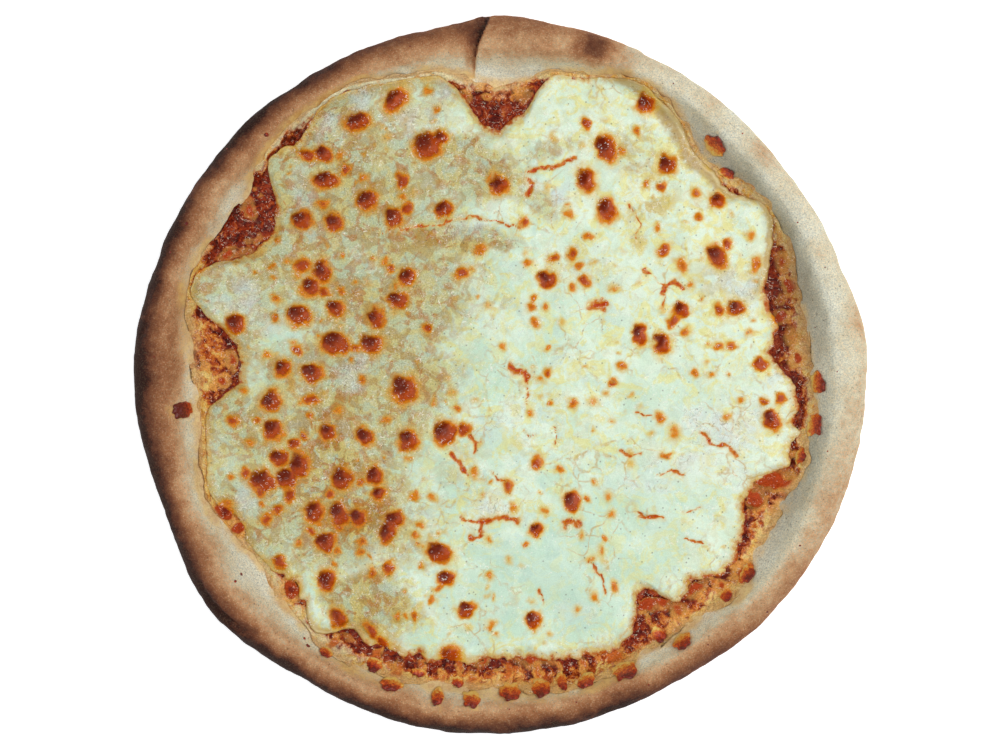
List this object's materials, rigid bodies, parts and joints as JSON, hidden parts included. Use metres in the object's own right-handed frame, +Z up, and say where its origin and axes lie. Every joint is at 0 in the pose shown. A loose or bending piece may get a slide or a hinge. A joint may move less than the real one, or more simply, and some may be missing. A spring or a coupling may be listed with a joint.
{
  "type": "cheese pizza",
  "caption": "Whole round cheese pizza: puffed browned crust, tomato sauce showing at the edge, and a melted cheese sheet with toasted blisters.",
  "frame": {"origin": "middle of the crust's flat underside, under the middle of the whole pizza's box", "axes": "+Z up out of the cheese, +X to the right and +Y to the top of the picture, which looks straight down"},
  "size_m": [0.2992, 0.293, 0.0223],
  "materials": {
    "baked_dough": "baked dough: matte, floury, browned to dark brown on the outside",
    "tomato_sauce": "oily cooked tomato sauce",
    "melted_cheese": "glossy melted cheese with toasted blisters",
    "toasted_cheese": "oily toasted cheese"
  },
  "bodies": {
    "root": {"crust": "baked_dough", "sauce": "tomato_sauce", "cheese": "melted_cheese", "toasted_bit_01": "toasted_cheese", "toasted_bit_02": "toasted_cheese", "toasted_bit_03": "toasted_cheese", "toasted_bit_04": "toasted_cheese", "toasted_bit_05": "toasted_cheese", "toasted_bit_06": "toasted_cheese", "toasted_bit_07": "toasted_cheese", "toasted_bit_08": "toasted_cheese", "toasted_bit_09": "toasted_cheese", "toasted_bit_10": "toasted_cheese", "toasted_bit_11": "toasted_cheese", "toasted_bit_12": "toasted_cheese", "toasted_bit_13": "toasted_cheese", "toasted_bit_14": "toasted_cheese", "toasted_bit_15": "toasted_cheese", "toasted_bit_16": "toasted_cheese", "toasted_bit_17": "toasted_cheese", "toasted_bit_18": "toasted_cheese", "toasted_bit_19": "toasted_cheese", "toasted_bit_20": "toasted_cheese", "toasted_bit_21": "toasted_cheese", "toasted_bit_22": "toasted_cheese"}
  },
  "joints": []
}
